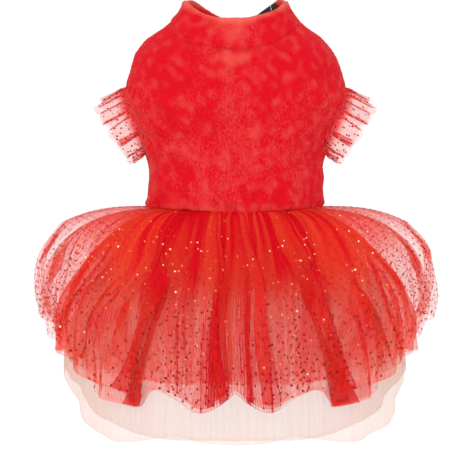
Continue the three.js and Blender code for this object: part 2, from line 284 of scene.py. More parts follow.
plushLook = {
    "deep": (0.66, 0.0004, 0.011),
    "bright": (0.695, 0.033, 0.036),  # where the nap lies the other way
    # a paler red: painted highlight on the waist's edge and the middle of the front, and paler round the
    # armholes, towards the collar's rim and at random
    "paleToneAndHighlight": (0.78, 0.115, 0.085),
    "combed": (1, 1, 0.5),  # the pile's marks are drawn out down the body
    "pileHeight": 0.9 * mm,
}


def makePlush():
    material, tree, shader = newMaterial("redPlush")
    pile = placeGroup(tree, plushPile)
    combed = tree.nodes.new("ShaderNodeMapping")
    setInputs(combed, {"Scale": plushLook["combed"]})
    tree.links.new(objectPlace(tree), combed.inputs["Vector"])
    tree.links.new(combed.outputs[0], pile.inputs["Place"])
    # the pile's nap plus painted shade: an attribute pushes the bodice's upper sides and the collar's sides
    # towards the deep red
    lying = mathNode(tree, "ADD", pile.outputs["Nap"], attributeValue(tree, "paintedShade"), clamp=True)
    nap = mixColours(tree, lying, plushLook["deep"], plushLook["bright"])
    # paler where an attribute says so: partly painted highlight
    colour = mixColours(tree, attributeValue(tree, "paleToneAndHighlight"), nap, plushLook["paleToneAndHighlight"])
    tree.links.new(colour, shader.inputs["Base Color"])
    gloss = {"Roughness": 0.9, "Specular IOR Level": 0.15}
    sheen = {"Sheen Weight": 0.18, "Sheen Roughness": 0.4, "Sheen Tint": (1.0, 0.42, 0.38, 1)}
    setInputs(shader, {**gloss, **sheen})
    addBump(tree, shader, pile.outputs["Height"], 0.7, plushLook["pileHeight"])
    return material


spottedNetLook = {
    "light": (0.97, 0.062, 0.024),
    "deep": (0.71, 0.0001, 0.009),
    "cell": 0.9 * mm,
    "threadShare": 0.3,  # how much of a cell its threads take up
    "haze": 0.5,  # how much of the net's cover is a blur of its finest threads
}
sheerNetLook = {
    "light": (0.78, 0.47, 0.36),
    "deep": (0.76, 0.30, 0.20),
    "cell": 0.7 * mm,
    "threadShare": 0.3,
    "haze": 0.7,
}


def makeNetMaterial(name, look):
    material, tree, shader = newMaterial(name)
    flat = tree.nodes.new("ShaderNodeUVMap")
    flat.uv_map = "cloth"
    mesh = placeGroup(tree, netMesh)
    setInputs(mesh, {"Cell": look["cell"]})
    tree.links.new(flat.outputs["UV"], mesh.inputs["Cloth"])
    cover = attributeValue(tree, "cover")
    share, haze = look["threadShare"], look["haze"]
    solid = mathNode(tree, "MULTIPLY", cover, (1 - (1 - share) * haze) / share, clamp=True)
    onThread = mathNode(tree, "MULTIPLY", mesh.outputs["Threads"], solid)
    closed = mathNode(tree, "DIVIDE", mathNode(tree, "SUBTRACT", cover, share), 1 - share, clamp=True)
    inHole = mathNode(tree, "MAXIMUM", closed, mathNode(tree, "MULTIPLY", cover, haze))
    hole = mathNode(tree, "MULTIPLY", mathNode(tree, "SUBTRACT", 1.0, mesh.outputs["Threads"]), inHole)
    tree.links.new(mathNode(tree, "ADD", onThread, hole, clamp=True), shader.inputs["Alpha"])
    uneven = mathNode(tree, "MULTIPLY", cover, noiseNode(tree, objectPlace(tree), 45.0))
    tint = mathNode(tree, "ADD", uneven, attributeValue(tree, "lap"), clamp=True)
    tree.links.new(mixColours(tree, tint, look["light"], look["deep"]), shader.inputs["Base Color"])
    gloss = {"Roughness": 0.55, "Specular IOR Level": 0.05}
    setInputs(shader, {**gloss, "Sheen Weight": 0.02, "Sheen Tint": (1.0, 0.3, 0.25, 1)})
    return material


def makeGlitter():
    material, tree, shader = newMaterial("glitterSpot")
    fleck = mathNode(tree, "MULTIPLY", noiseNode(tree, objectPlace(tree), 2600.0, 1.0), 0.08)
    colour = mixColours(tree, fleck, attributeValue(tree, "spot", "Color"), (0.5, 0.1, 0.06))
    tree.links.new(colour, shader.inputs["Base Color"])
    setInputs(shader, {"Metallic": 0.08, "Roughness": 0.45, "Specular IOR Level": 0.1})
    return material


def makeLabelMaterial():
    material, tree, shader = newMaterial("blackTape")
    place = objectPlace(tree)
    rib = tree.nodes.new("ShaderNodeTexWave")
    rib.wave_type = "BANDS"
    rib.bands_direction = "Z"
    setInputs(rib, {"Scale": 420})
    tree.links.new(place, rib.inputs["Vector"])
    colour = mixColours(tree, noiseNode(tree, place, 300.0), (0.006, 0.0055, 0.006), (0.022, 0.02, 0.022))
    tree.links.new(colour, shader.inputs["Base Color"])
    setInputs(shader, {"Roughness": 0.6, "Sheen Weight": 0.15})
    addBump(tree, shader, rib.outputs["Fac"], 0.5, 0.2 * mm)
    return material


def makeThreadMaterial(name, dark, light):
    material, tree, shader = newMaterial(name)
    ply = noiseNode(tree, objectPlace(tree), 2400.0, 2.0)
    tree.links.new(mixColours(tree, ply, dark, light), shader.inputs["Base Color"])
    setInputs(shader, {"Roughness": 0.7, "Sheen Weight": 0.2})
    return material


redPlush = makePlush()
spottedNet = makeNetMaterial("spottedNet", spottedNetLook)
sheerNet = makeNetMaterial("sheerNet", sheerNetLook)
glitterSpot = makeGlitter()
blackTape = makeLabelMaterial()
paleThread = makeThreadMaterial("paleThread", (0.55, 0.52, 0.5), (0.85, 0.82, 0.8))
redThread = makeThreadMaterial("redThread", (0.34, 0.001, 0.006), (0.5, 0.004, 0.014))
print("materials made")


body = {  # the bodice as a smooth tube
    "neckWidth": 110.4,
    "neckDepth": 82.0,
    "neckShift": -4.0,
    "neckRise": 7.8,
    "dipBack": 25.2,
    "dipThroat": 20.0,
    "chestWidth": 194.0,
    "chestDepth": 114.0,
    "waistWidth": 155.0,
    "waistDepth": 106.0,
    "length": 162.0,
    "squareness": 2.25,
    "wall": 2.4,
    "seamSag": 4.5,  # how far the waist hangs down at the middle
    "rows": 62,
    "columns": 150,
}
bodySections = {  # from the waist up to the neck seam
    "level": [0, 0.157, 0.23, 0.283, 0.356, 0.447, 0.541, 0.606, 0.656, 0.791, 0.88, 0.925, 0.962, 1],
    "swell": [0, -0.06, -0.12, 0.03, 0.23, 0.63, 0.974, 1, 1, 1, 1, 1, 1, 1],
    "neckward": [0, 0, 0, 0, 0, 0, 0, 0, 0.055, 0.191, 0.421, 0.629, 0.837, 1],
    "dip": [0, 0, 0, 0, 0, 0, 0, 0, 0.04, 0.25, 0.45, 0.62, 0.81, 1],
}
armhole = {"height": 60.0, "depth": 46.0, "drop": 85.8, "beyond": 30.0}  # beyond: how far out a side begins
armholeMiddle = body["neckRise"] - armhole["drop"]
waistEdge = body["neckRise"] - body["length"]
tuftSpread = 0.17  # how far single tufts stand off the plush


def rounded(value):
    return np.sign(value) * np.abs(value) ** (2 / body["squareness"])


def dipShare(angle):
    return np.abs(np.cos(angle)) ** np.where(np.cos(angle) > 0, 1.5, 3)


def bodyPoint(level, angle):
    keys = ("swell", "neckward", "dip")
    swell, neckward, dip = (alongTable(bodySections, "level", key, level) for key in keys)
    width = body["waistWidth"] + (body["chestWidth"] - body["waistWidth"]) * swell
    depth = body["waistDepth"] + (body["chestDepth"] - body["waistDepth"]) * swell
    width = width + (body["neckWidth"] - body["chestWidth"]) * neckward
    depth = depth + (body["neckDepth"] - body["chestDepth"]) * neckward
    dips = np.where(np.cos(angle) > 0, body["dipBack"], body["dipThroat"])
    z = body["neckRise"] - body["length"] * (1 - level) - dip * dipShare(angle) * dips
    x = width / 2 * rounded(np.sin(angle))
    y = body["neckShift"] * neckward - depth / 2 * rounded(np.cos(angle))
    return np.stack(np.broadcast_arrays(x, y, z), -1)


def bodySide(y, z):  # half the bodice's width at a depth and a height
    level = 1 - (body["neckRise"] - z) / body["length"]
    side = bodyPoint(level, np.pi / 2)[..., 0]
    half = -bodyPoint(np.minimum(level, 0.7), 0 * y)[..., 1]  # not above the chest, where it narrows
    share = np.minimum(np.abs(y) / half, 0.98)
    return side * (1 - share ** body["squareness"]) ** (1 / body["squareness"])


def seamSag(angle):  # the waist seam hangs lower at the middle of the seen side
    return body["seamSag"] * np.maximum(np.cos(angle), 0) ** 2


def holePlace(y, z):  # a place in the armhole's own oval, 1 at its edge
    return np.stack([y / (armhole["depth"] / 2), (z - armholeMiddle) / (armhole["height"] / 2)], -1)


def seamPuckers(angle, fade):  # small even pulls under the collar, at the middle of the seen side
    return 0.9 * np.sin(angle * 21) * smoothStep(0.5, 0.1, np.abs(angle)) * fade


def sagCloth(points):  # the waist's edge let down, and a little uneven
    x, y, z = points.T
    angle = np.arctan2(x, -y)
    above = z - waistEdge
    circle = np.stack([np.sin(angle), np.cos(angle)], -1) * 75
    wavy = 0.4 * softNoise(circle, 16, 9) * smoothStep(8, 0, above)
    return np.stack([x, y, z - (smoothStep(30, 0, above) * seamSag(angle) + wavy)], -1)


def clothDents(points):  # soft dents of filled plush and the groove down its middle
    x, y, z = points.T
    angle = np.arctan2(x, -y)
    below = bodyPoint(np.ones_like(angle), angle)[:, 2] - z
    dents = 0.9 * softNoise(points * (1, 1, 0.8), 46, 3) + 0.45 * softNoise(points, 20, 4)
    groove = np.exp(-(((x + 6) / 1.6) ** 2)) * (y < 0) * smoothStep(-35, -55, z)
    return dents * smoothStep(0, 16, below) - groove + seamPuckers(angle, smoothStep(9, 1, below))


def edgePuckers(points):  # puckers at the waist and the armholes, and the waist's rolled lip
    x, y, z = points.T
    angle = np.arctan2(x, -y)
    above = z - waistEdge
    outer = np.hypot(x, y) > np.hypot(*bodyPoint(0 * z, angle)[:, :2].T) - body["wall"] / 2
    lip = 0.3 * smoothStep(9, 4, above) - 1.5 * smoothStep(3.6, 0.2, above) * outer
    waist = smoothStep(28, 0, above) * 1.1 * softNoise(np.stack([angle * 75, z * 0.25], -1), 9, 5)
    hole = np.linalg.norm(holePlace(y, z), axis=1)
    turn = np.arctan2(-y, z - armholeMiddle)
    holePull = smoothStep(1.9, 1.0, hole) * (np.abs(x) > armhole["beyond"])
    around = np.stack([turn * 28, hole * 4, np.sign(x) * 50], -1)
    return waist + holePull * 0.8 * softNoise(around, 8, 6) + lip


def makeBodice():
    rows, columns = body["rows"], body["columns"]
    level = np.linspace(0, 1, rows)[:, None]
    angle = (np.arange(columns) / columns * 2 * np.pi)[None, :]
    points = bodyPoint(level, angle).reshape(-1, 3)
    faces = ringFaces(rows, columns)
    across = holePlace(points[:, 1], points[:, 2])
    reach = np.linalg.norm(across, axis=1)
    inside = (reach < 1) & (np.abs(points[:, 0]) > armhole["beyond"])
    edge = np.zeros(len(points), bool)
    mixed = inside[faces].any(1) & ~inside[faces].all(1)
    edge[faces[mixed].ravel()] = True
    edge &= inside  # these points move out to the hole's edge
    onEdge = across[edge] / reach[edge][:, None]
    points[edge, 1] = onEdge[:, 0] * armhole["depth"] / 2
    points[edge, 2] = onEdge[:, 1] * armhole["height"] / 2 + armholeMiddle
    points[edge, 0] = np.sign(points[edge, 0]) * bodySide(points[edge, 1], points[edge, 2])
    faces = faces[~inside[faces].all(1)]
    used, faces = np.unique(faces, return_inverse=True)
    piece = clothObject("bodicePlush", points[used], faces.reshape(-1, 4))
    wall = piece.modifiers.new("wall", "SOLIDIFY")
    wall.thickness = body["wall"] * mm
    wall.offset = -1
    makeFiner(piece)
    smooth = meshPoints(piece)
    sagged = sagCloth(smooth)
    out = unit(sagged * (1, 1.4, 0))
    tufts = np.random.default_rng(7).normal(0, tuftSpread, smooth.shape)
    setPoints(piece, sagged + out * (clothDents(smooth) + edgePuckers(sagged))[:, None] + tufts)
    x, y, z = sagged.T
    hole = np.linalg.norm(holePlace(y, z), axis=1) + (np.abs(x) < armhole["beyond"])
    # painted highlight: a pale strip along the waist's rolled edge and a pale patch at the middle of the
    # front under the collar; paler too round the armholes' edges and at random
    highlightPatch = np.exp(-(((x + 2) / 19) ** 2) - ((z + 27) / 6) ** 2) * (y < 0)
    paleToneAndHighlight = 0.12 * smoothStep(5, 1, z - waistEdge) + 0.4 * highlightPatch + 0.4 * smoothStep(1.12, 1.02, hole)
    giveAttribute(piece, "paleToneAndHighlight", np.clip(paleToneAndHighlight + 0.15 * softNoise(sagged, 12, 8), 0, 1))
    # painted shade: the bodice's upper sides darkened towards the deep red
    aside = np.abs(x) / (body["chestWidth"] / 2)
    giveAttribute(piece, "paintedShade", -0.7 * smoothStep(-75, -30, z) * smoothStep(0.15, 0.5, aside))
    piece.data.materials.append(redPlush)
    return piece


bodice = makeBodice()
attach(bodice, "root")
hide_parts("bodice")
print("bodice made:", len(bodice.data.polygons), "faces")


band = {  # a folded stand collar, whose rim rises beside the middle of the throat
    "rimWidth": 91.0,
    "rimDepth": 68.0,
    "heightBack": 26.6,
    "heightSide": 17.4,
    "heightThroat": 21.4,
    "wall": 4.0,
    "columns": 132,
    "lap": 0.8,
    "throatRise": 3.6,
}
collarSection = {  # once round the folded band, from its outer foot over the rim to its inner foot
    "up": [-0.08, 0.06, 0.36, 0.56, 0.74, 0.88, 0.96, 1, 0.99, 0.93, 0.8, 0.6, 0.36, 0.14, 0],
    "flare": [1.17, 0.95, 0.4, 0.2, 0.08, 0.02, 0, 0, 0, 0.02, 0.1, 0.24, 0.45, 0.76, 1],
    "inward": [0.0, -0.26, -0.22, -0.16, -0.1, -0.02, 0.16, 0.45, 0.78, 0.98, 1.04, 1.06, 1.05, 1.02, 1],
}


def collarPoint(angle, up, flare, inward):
    seam = bodyPoint(np.ones_like(angle), angle)
    width = (band["rimWidth"] + (body["neckWidth"] - band["rimWidth"]) * flare) / 2 - inward * band["wall"]
    depth = (band["rimDepth"] + (body["neckDepth"] - band["rimDepth"]) * flare) / 2 - inward * band["wall"]
    middle = np.where(np.cos(angle) > 0, band["heightBack"], band["heightThroat"])
    height = band["heightSide"] + (middle - band["heightSide"]) * dipShare(angle)
    x = width * rounded(np.sin(angle))
    y = body["neckShift"] - depth * rounded(np.cos(angle))
    beside = np.where(np.cos(angle) < 0, np.sin(2 * angle) ** 2, 0)
    height = height + band["throatRise"] * beside
    z = seam[..., 2] - band["lap"] * (1 - np.clip(up * 6, 0, 1)) + up * height
    return np.stack(np.broadcast_arrays(x, y, z), -1)


def makeCollar():
    columns = band["columns"]
    angle = (np.arange(columns) / columns * 2 * np.pi)[None, :]
    up, flare, inward = (np.array(collarSection[key])[:, None] for key in ("up", "flare", "inward"))
    points = collarPoint(angle + 0 * up, up, flare, inward)
    piece = clothObject("collarPlush", points.reshape(-1, 3), ringFaces(len(up), columns, wrapRows=True))
    makeFiner(piece)
    points = meshPoints(piece)
    out = unit((points - (0, body["neckShift"], 0)) * (1, 1, 0))
    rim = smoothStep(-8, 12, points[:, 2])
    angle = np.arctan2(points[:, 0], body["neckShift"] - points[:, 1])
    seam = bodyPoint(np.ones_like(angle), angle)[:, 2]
    above = points[:, 2] - seam
    dents = 0.55 * softNoise(points, 22, 11) + 0.3 * softNoise(points, 9, 12)
    puckers = seamPuckers(angle, smoothStep(6, 1, above))
    tufts = np.random.default_rng(8).normal(0, tuftSpread, points.shape)
    height = collarPoint(angle, 1, 0, 0)[:, 2] - seam
    # painted highlight at the middle of the front, where the collar faces the light; paler towards the rim
    # and at random
    highlightPatch = 0.2 * smoothStep(0.62, 0.3, np.abs(angle)) * smoothStep(4, 9, above)
    paleToneAndHighlight = smoothStep(8, 0.5, height - above) + highlightPatch + 0.15 * softNoise(points, 12, 14)
    giveAttribute(piece, "paleToneAndHighlight", np.clip(paleToneAndHighlight, 0, 1))
    # painted shade: the collar's sides darkened towards the deep red
    giveAttribute(piece, "paintedShade", -0.8 * smoothStep(0.4, 0.9, np.abs(angle)))
    points = points + out * (dents * smoothStep(0, 8, above) + puckers)[:, None] + tufts
    points[:, 2] += rim * 0.7 * softNoise(points[:, :2], 30, 13)
    setPoints(piece, points)
    piece.data.materials.append(redPlush)
    return piece


collar = makeCollar()
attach(collar, "root")
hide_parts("collar")
print("collar made:", len(collar.data.polygons), "faces")


label = {  # a tape sewn inside the far side of the collar
    "start": 122.0,  # degrees round the collar
    "end": 158.0,
    "height": 12.0,
    "proud": -1.4,  # its top edge against the collar's rim
    "clear": 1.2,  # its gap to the collar's wall
    "wall": 0.7,
}
tapeStitch = {"at": 0.27, "first": 0.9, "step": 1.9, "length": 2.1, "radius": 0.6, "proud": 0.45}
seamStitch = {"from": -9, "to": 9, "count": 6, "length": 2.4, "radius": 0.55, "proud": 1.2, "down": 1.0}


def labelPlace(share, down, clear):  # a point of the tape, down from its top edge
    angle = np.radians(label["start"] + (label["end"] - label["start"]) * share)
    beyondSide = band["heightThroat"] - band["heightSide"]
    height = band["heightSide"] + beyondSide * dipShare(angle)
    up = 1 + (label["proud"] - down) / height
    flare = np.maximum(1 - up, 0) * 0.6
    return collarPoint(angle, up, flare, 1 + clear / band["wall"])


def makeLabel():
    share = np.linspace(0, 1, 31)[None, :]
    down = np.linspace(0, label["height"], 15)[:, None]
    clear = label["clear"] + 0.15 * np.sin(share * 11) + 0.15
    points = labelPlace(share + 0 * down, down + 0 * share, clear)
    rows, columns = points.shape[:2]
    i, j = np.meshgrid(np.arange(rows - 1), np.arange(columns - 1), indexing="ij")
    a = (i * columns + j).ravel()
    faces = np.stack([a, a + 1, a + columns + 1, a + columns], -1)
    piece = clothObject("neckTape", points.reshape(-1, 3), faces)
    wall = piece.modifiers.new("wall", "SOLIDIFY")
    wall.thickness = label["wall"] * mm
    wall.offset = 1
    applyAll(piece)
    piece.data.materials.append(blackTape)
    return piece


def makeStitch(name, ends, stitch, material):  # one thread stitch, a drawn-out ball between two places
    bpy.ops.object.select_all(action="DESELECT")
    radius = stitch["radius"]
    bpy.ops.mesh.primitive_uv_sphere_add(segments=8, ring_count=6, radius=radius * mm, location=(0, 0, 0))
    piece = bpy.context.active_object
    piece.name = name
    points = meshPoints(piece)
    points[:, 2] *= stitch["length"] / (2 * radius)
    along = unit(ends[1] - ends[0])
    side = unit(np.cross(along, (0.0, 1.0, 0.2)))
    turned = points[:, :1] * side + points[:, 1:2] * np.cross(along, side) + points[:, 2:] * along
    setPoints(piece, turned + ends.mean(0))
    piece.data.materials.append(material)
    return piece


def joinPieces(name, pieces):
    bpy.ops.object.select_all(action="DESELECT")
    for piece in pieces:
        piece.select_set(True)
    bpy.context.view_layer.objects.active = pieces[0]
    bpy.ops.object.join()
    joined = bpy.context.active_object
    joined.name = name
    setSmooth(joined.data, True)
    joined.select_set(False)
    return joined


neckTape = makeLabel()
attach(neckTape, "root")
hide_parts("neck_label")
tapeStitches = []
tapeFace = label["clear"] + label["wall"] + tapeStitch["proud"]
for down in np.arange(tapeStitch["first"], label["height"] - 0.5, tapeStitch["step"]):
    ends = labelPlace(np.full(2, tapeStitch["at"]), np.array([down, down + 1.0]), tapeFace)
    tapeStitches.append(makeStitch("tapeStitch", ends, tapeStitch, paleThread))
tapeStitching = joinPieces("tapeStitching", tapeStitches)
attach(tapeStitching, "root")
seamStitches = []
for angle in np.radians(np.linspace(seamStitch["from"], seamStitch["to"], seamStitch["count"])):
    ends = bodyPoint(np.ones(2), np.array([angle - 0.02, angle + 0.02]))
    ends = ends - (0, seamStitch["proud"], seamStitch["down"])
    seamStitches.append(makeStitch("seamStitch", ends, seamStitch, redThread))
seamStitching = joinPieces("seamStitching", seamStitches)
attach(seamStitching, "root")
print("label made")


# copper and cream are painted glints: spots painted bright as if their foil caught the key light
spotColours = {
    "red": (0.42, 0.0005, 0.006),
    "dark": (0.2, 0.0005, 0.004),
    "copperGlint": (0.9, 0.32, 0.1),
    "creamGlint": (1.0, 0.86, 0.6),
}
spotSides = 6


def scatterSpots(name, grid, width, length, settings):  # foil discs on a cloth grid, in rows that stagger
    random = np.random.default_rng(settings["seed"])
    rows, columns = grid.shape[:2]
    pitch = settings["pitch"]
    rowPitch = pitch * 0.866  # rows of even triangles
    places = []
    for k, v in enumerate(np.arange(settings["first"], length - 1.0, rowPitch)):
        u = np.arange(int(width / pitch)) * pitch + pitch * 0.5 * (k % 2)
        places.append(np.stack([u, np.full_like(u, v)], -1))
    places = np.concatenate(places) + random.normal(0, 0.07 * pitch, (sum(map(len, places)), 2))
    u = places[:, 0] / width * columns
    v = np.clip(places[:, 1] / length, 0.001, 0.995) * (rows - 1)
    j, i = np.floor(u).astype(int), np.floor(v).astype(int)
    fu, fv = (u - j)[:, None], (v - i)[:, None]
    j0, j1, i1 = j % columns, (j + 1) % columns, np.minimum(i + 1, rows - 1)
    a, b, c, d = grid[i, j0], grid[i, j1], grid[i1, j0], grid[i1, j1]
    middle = (a * (1 - fu) + b * fu) * (1 - fv) + (c * (1 - fu) + d * fu) * fv
    across = (b - a) * (1 - fv) + (d - c) * fv
    along = unit((c - a) * (1 - fu) + (d - b) * fu)
    normal = -unit(np.cross(across, along))
    normal = unit(normal + random.normal(0, settings["tilt"], normal.shape))
    side = unit(np.cross(normal, along))
    other = np.cross(normal, side)
    count = len(middle)
    down = places[:, 1] / length
    sideward = np.sin(places[:, 0] / width * 2 * np.pi) ** 4
    grown = 1 + settings["growth"] * down * (1 - 0.7 * sideward)
    radius = (settings["radius"] * grown * random.uniform(0.75, 1.25, count))[:, None, None]
    corner = np.arange(spotSides)
    turn = (np.radians(360 / spotSides) * corner + random.uniform(0, 1, count)[:, None])[..., None]
    rim = middle[:, None] + radius * (np.cos(turn) * side[:, None] + np.sin(turn) * other[:, None])
    rim += normal[:, None] * settings["edge"]
    top = middle + normal * settings["height"]
    points = np.concatenate([rim, top[:, None]], 1).reshape(-1, 3)
    base = (np.arange(count) * (spotSides + 1))[:, None, None]
    fan = np.stack([corner, (corner + 1) % spotSides, np.full(spotSides, spotSides)], -1)[None]
    piece = clothObject(name, points, (base + fan).reshape(-1, 3))
    # painted glints: a share of spots painted copper or cream, most between about a fifth and two thirds of
    # the way down, where discs would tilt towards the light from above
    kind = random.uniform(0, 1, count)[:, None]
    shine = 0.15 + smoothStep(0.15, 0.3, down) * (1 - smoothStep(0.45, 0.75, down))
    shine = settings["shine"] * shine[:, None]
    red, dark, copperGlint, creamGlint = (np.array(spotColours[key]) for key in ("red", "dark", "copperGlint", "creamGlint"))
    colours = red + (dark - red) * smoothStep(0.25, 0.6, down)[:, None]
    colours = np.where(kind < shine * 1.6, copperGlint, colours)
    colours = np.where(kind < shine * 0.5, creamGlint, colours)
    colours = np.repeat(np.concatenate([colours, np.ones((count, 1))], 1), spotSides + 1, axis=0)
    layer = piece.data.attributes.new("spot", "FLOAT_COLOR", "POINT")
    layer.data.foreach_set("color", colours.astype(np.float32).ravel())
    setSmooth(piece.data, False)
    piece.data.materials.append(glitterSpot)
    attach(piece, "root")
    return piece


def evenRows(points, rows):  # the same cloth with its rows evenly spaced down each column
    steps = np.linalg.norm(np.diff(points, axis=0), axis=2)
    run = np.concatenate([np.zeros((1, points.shape[1])), np.cumsum(steps, 0)])
    out = np.empty((rows, *points.shape[1:]))
    for j in range(points.shape[1]):
        at = np.linspace(0, run[-1, j], rows)
        for axis in range(3):
            out[:, j, axis] = np.interp(at, run[:, j], points[:, j, axis])
    return out, run[-1]


netHem = {  # a net's length and outward spring round its hem, from the middle of the seen side
    "angle": [0, 8, 17, 26, 33, 41, 50, 57, 63, 70, 80, 90, 105, 120, 140, 160, 180],
    "drop": [
        0.91, 1, 0.95, 0.88, 0.95, 0.9, 0.82, 0.75, 0.69,
        0.64, 0.58, 0.56, 0.59, 0.68, 0.82, 0.91, 0.92,
    ],
    "spring": [
        0.42, 0.42, 0.46, 0.52, 0.58, 0.65, 0.75, 0.84, 0.92,
        0.94, 0.96, 0.97, 0.95, 0.88, 0.66, 0.48, 0.42,
    ],
}
underHem = {
    "angle": [0, 10, 20, 31, 42, 53, 62, 73, 82, 92, 108, 126, 150, 180],
    "drop": [0.985, 0.975, 0.95, 0.965, 0.975, 0.94, 0.89, 0.79, 0.71, 0.66, 0.75, 0.89, 1.0, 1.02],
    "spring": [0.3, 0.3, 0.3, 0.32, 0.36, 0.41, 0.47, 0.54, 0.58, 0.6, 0.55, 0.45, 0.34, 0.3],
}
mainFolds = {  # ridges on one side: how far they stand out and how far they lean
    "at": [10, 27, 43, 61, 80, 101, 124, 147, 169],
    "depth": [0.75, 0.5, 0.95, 0.8, 1, 1, 0.85, 0.9, 0.7],
    "lean": [0.25, 0.1, 0.5, 0.3, 0.3, 0, -0.3, 0.3, 0.2],
}
skirt = {
    "hemWidth": 326.0,
    "hemDepth": 186.0,
    "spread": 7.0,  # from one layer's hem in to the next one's
    "wall": 1.0,
    "gap": 0.6,
    "tuck": 4.0,  # how far a layer reaches up inside the bodice
    "rise": 1.2,
    "puff": 2.4,  # how far it swells just under the seam
}
outerNet = {
    "order": 0, "hem": netHem, "length": 166.0, "cloth": 1100.0, "columns": 900, "rows": 58, "seed": 21,
    "sideDrop": -0.01, "springShare": 1.0, "lift": 4.0, "belly": 13.0, "fall": 0.56, "widen": 0.0,
    "fold": 13.0, "foldGrowth": 0.8, "pleats": 18, "sway": 2.2, "curl": 4.0,
    "gather": 1.0, "corner": 4.0, "ripple": 0.8,
    "thread": 0.145, "upper": 0.22, "flank": 0.0, "pitch": 6.6,
}
middleNet = {
    **outerNet, "order": 1, "length": 171.0, "seed": 22,
    "sideDrop": 0.06, "springShare": 0.95, "lift": -5.0, "curl": 7.0, "corner": 0.0,
    "thread": 0.135, "pitch": 8.4,
}
innerNet = {
    **outerNet, "order": 2, "cloth": 1020.0, "seed": 23,
    "sideDrop": 0.16, "springShare": 0.62, "lift": -22.0, "belly": 4.0, "fall": 0.45,
    "curl": 3.0, "corner": 0.0, "thread": 0.28, "upper": 0.65, "pitch": 0,
}
underNet = {
    **innerNet, "order": 3, "hem": underHem, "length": 200.0, "cloth": 800.0,
    "columns": 480, "rows": 48, "seed": 24,
    "sideDrop": 0.0, "lift": -30.0, "belly": 2.0, "fall": 0.5, "widen": 4.0,
    "fold": 4.5, "foldGrowth": 1.2, "pleats": 0, "sway": 1.4, "curl": 0.0, "gather": 0.1, "ripple": 1.0,
    "thread": 0.2, "upper": 0.2, "flank": 0.3,
}
creases = {  # where the nets fold over themselves, one side: angles at waist and hem, and from how far down
    "waist": [5.5, 9.0, 14.0, 28.0, 12.0, 20.0, 44.0, 75.0, 86.0],
    "hem": [4.2, 9.5, 17.0, 34.0, 35.0, 51.0, 60.0, 77.0, 88.0],
    "start": [0.0, 0.45, -0.1, -0.1, 0.42, 0.5, 0.3, 0.1, 0.25],
    "end": [1.5, 1.5, 0.5, 0.62, 1.5, 1.5, 1.5, 0.8, 0.72],
    "width": [3.4, 2.6, 2.6, 6.5, 5.4, 2.2, 3.0, 5.0, 4.5],
    "strength": [2.7, 2.3, 2.2, 2.9, 2.9, 2.6, 2.2, 2.6, 2.4],
}


def ridgeShare(degrees, column):  # the main folds' depth or lean between their ridges
    at = np.array(mainFolds["at"] + [360 - a for a in reversed(mainFolds["at"])])
    sign = -1 if column == "lean" else 1
    values = np.array(mainFolds[column] + [sign * v for v in reversed(mainFolds[column])])
    low = (np.searchsorted(at, degrees, side="right") - 1) % len(at)
    high = (low + 1) % len(at)
    share = ((degrees - at[low]) % 360) / ((at[high] - at[low]) % 360)
    return (0.5 + 0.5 * np.cos(2 * np.pi * share)) * np.where(share < 0.5, values[low], values[high])


def layerSurface(layer, degrees, t):  # a layer's cloth without its fine folds
    angle = np.radians(degrees)
    fromBack = np.where(degrees % 360 > 180, 360 - degrees % 360, degrees % 360)
    side = np.sin(angle) ** 2
    drop = alongTable(layer["hem"], "angle", "drop", fromBack) + layer["sideDrop"] * side
    drop = drop * layer["length"]
    spring = layer["springShare"] * alongTable(layer["hem"], "angle", "spring", fromBack)
    out = np.stack([np.sin(angle), -np.cos(angle), 0 * angle], -1)
    inset = skirt["gap"] + layer["order"] * (skirt["wall"] + skirt["gap"])
    waist = bodyPoint(0 * angle, angle) - out * (body["wall"] + inset)
    waist[..., 2] = waistEdge - inset - seamSag(angle) + skirt["rise"]
    within = layer["order"] * skirt["spread"] - layer["widen"]
    hemX = (skirt["hemWidth"] / 2 - within) * np.sin(angle)
    hemY = (within - skirt["hemDepth"] / 2) * np.cos(angle)
    hem = np.stack([hemX, hemY, waistEdge - inset - drop], -1)
    reach = np.hypot(hem[..., 0] - waist[..., 0], hem[..., 1] - waist[..., 1])
    shoulder = waist + out * (spring * reach)[..., None]
    shoulder[..., 2] += layer["lift"] * side
    fall = hem + out * (layer["belly"] * side)[..., None]
    fall[..., 2] += layer["fall"] * drop
    s = t[..., None]
    point = waist * (1 - s) ** 3 + 3 * shoulder * s * (1 - s) ** 2 + 3 * fall * s**2 * (1 - s) + hem * s**3
    return point, out


def creaseRows(layer, random):  # the table's creases on both sides, then the layer's own small ones
    rows = []
    for values in zip(*creases.values()) if layer["pleats"] else ():
        row = np.array(values)
        row[:2] += random.normal(0, 0.8, 2)
        rows.append(row)
        rows.append([360 - row[0], 360 - row[1], *row[2:]])
    for at in np.arange(layer["pleats"]) / layer["pleats"] * 360:
        waist = at + random.uniform(-4, 4)
        start = random.uniform(-0.2, 0.5)
        width = random.uniform(2.0, 4.2)
        hem = waist + random.uniform(-4, 4)
        end = start + random.uniform(0.6, 1.4)
        rows.append([waist, hem, start, end, width, random.uniform(0.8, 1.7)])
    return rows


def lapAngles(angles, centre, width):  # how far angles lie from a crease, in its widths
    return ((angles - centre + 180) % 360 - 180) / width


